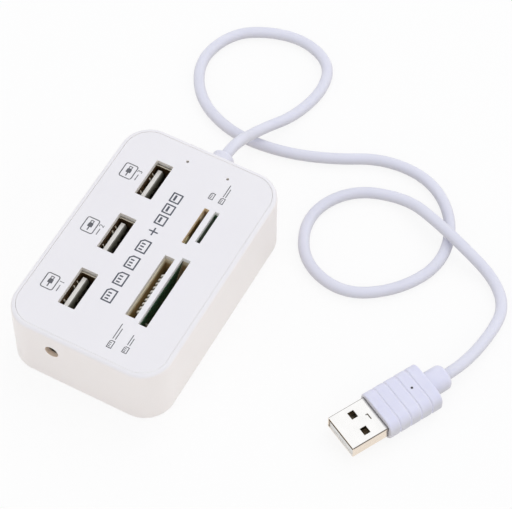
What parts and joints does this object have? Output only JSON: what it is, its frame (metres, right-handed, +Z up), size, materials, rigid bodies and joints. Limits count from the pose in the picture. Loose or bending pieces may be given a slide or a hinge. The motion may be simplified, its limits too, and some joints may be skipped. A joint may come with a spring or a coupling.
{
  "type": "usb hub card reader",
  "caption": "Flat round-cornered box with upright ports and card slots in its top panel, a power inlet in its front wall and a thin captive cable that ends in a plug.",
  "frame": {"origin": "on the table, under the middle of the case", "axes": "+X across the case towards the card slots, +Y along the case towards the cable, +Z up"},
  "size_m": [0.1233, 0.1423, 0.0223],
  "materials": {
    "case_white": "satin moulded",
    "panel_white": "semi-gloss moulded",
    "cord_white": "soft moulded",
    "sheet_steel": "nickel plated sheet",
    "screw_steel": "zinc plated",
    "insulator_white": "satin moulded",
    "contact_gold": "gold flashed",
    "contact_bright": "tin plated",
    "board_green": "solder mask",
    "socket_brown": "satin moulded",
    "socket_black": "satin moulded",
    "jack_black": "satin moulded",
    "chip_black": "moulded",
    "can_aluminium": "drawn can",
    "part_tan": "ceramic",
    "light_clear": "clear moulded",
    "wire_red": "wire insulation",
    "wire_white": "wire insulation",
    "wire_green": "wire insulation",
    "wire_black": "wire insulation",
    "wire_grey": "wire insulation"
  },
  "bodies": {
    "root": {"activity_light": "light_clear", "cable": "cord_white", "cable_gland": "cord_white", "card_board": "board_green", "card_contacts": "contact_gold", "card_small_parts": "part_tan", "card_socket": "socket_brown", "card_socket_cover": "sheet_steel", "case_screws": "screw_steel", "crystal_can": "screw_steel", "detect_spring": "contact_bright", "filter_capacitor": "can_aluminium", "hub_board": "board_green", "hub_chip": "chip_black", "hub_small_parts": "part_tan", "jack_body": "jack_black", "jack_pin": "contact_bright", "jack_spring": "contact_bright", "lead_black": "wire_black", "lead_green": "wire_green", "lead_red": "wire_red", "lead_white": "wire_white", "link_wires": "wire_grey", "lower_case": "case_white", "micro_contacts": "contact_gold", "micro_socket": "socket_black", "mini_contacts": "contact_gold", "mini_socket": "socket_brown", "plug_contacts": "contact_gold", "plug_grip": "cord_white", "plug_insert": "insulator_white", "plug_shell": "sheet_steel", "port_contacts_1": "contact_gold", "port_contacts_2": "contact_gold", "port_contacts_3": "contact_gold", "port_shell_1": "sheet_steel", "port_shell_2": "sheet_steel", "port_shell_3": "sheet_steel", "port_tongue_1": "insulator_white", "port_tongue_2": "insulator_white", "port_tongue_3": "insulator_white", "power_light": "light_clear", "reader_chip": "chip_black", "stick_contacts": "contact_bright", "stick_socket": "socket_brown", "top_panel": "panel_white"}
  },
  "joints": []
}
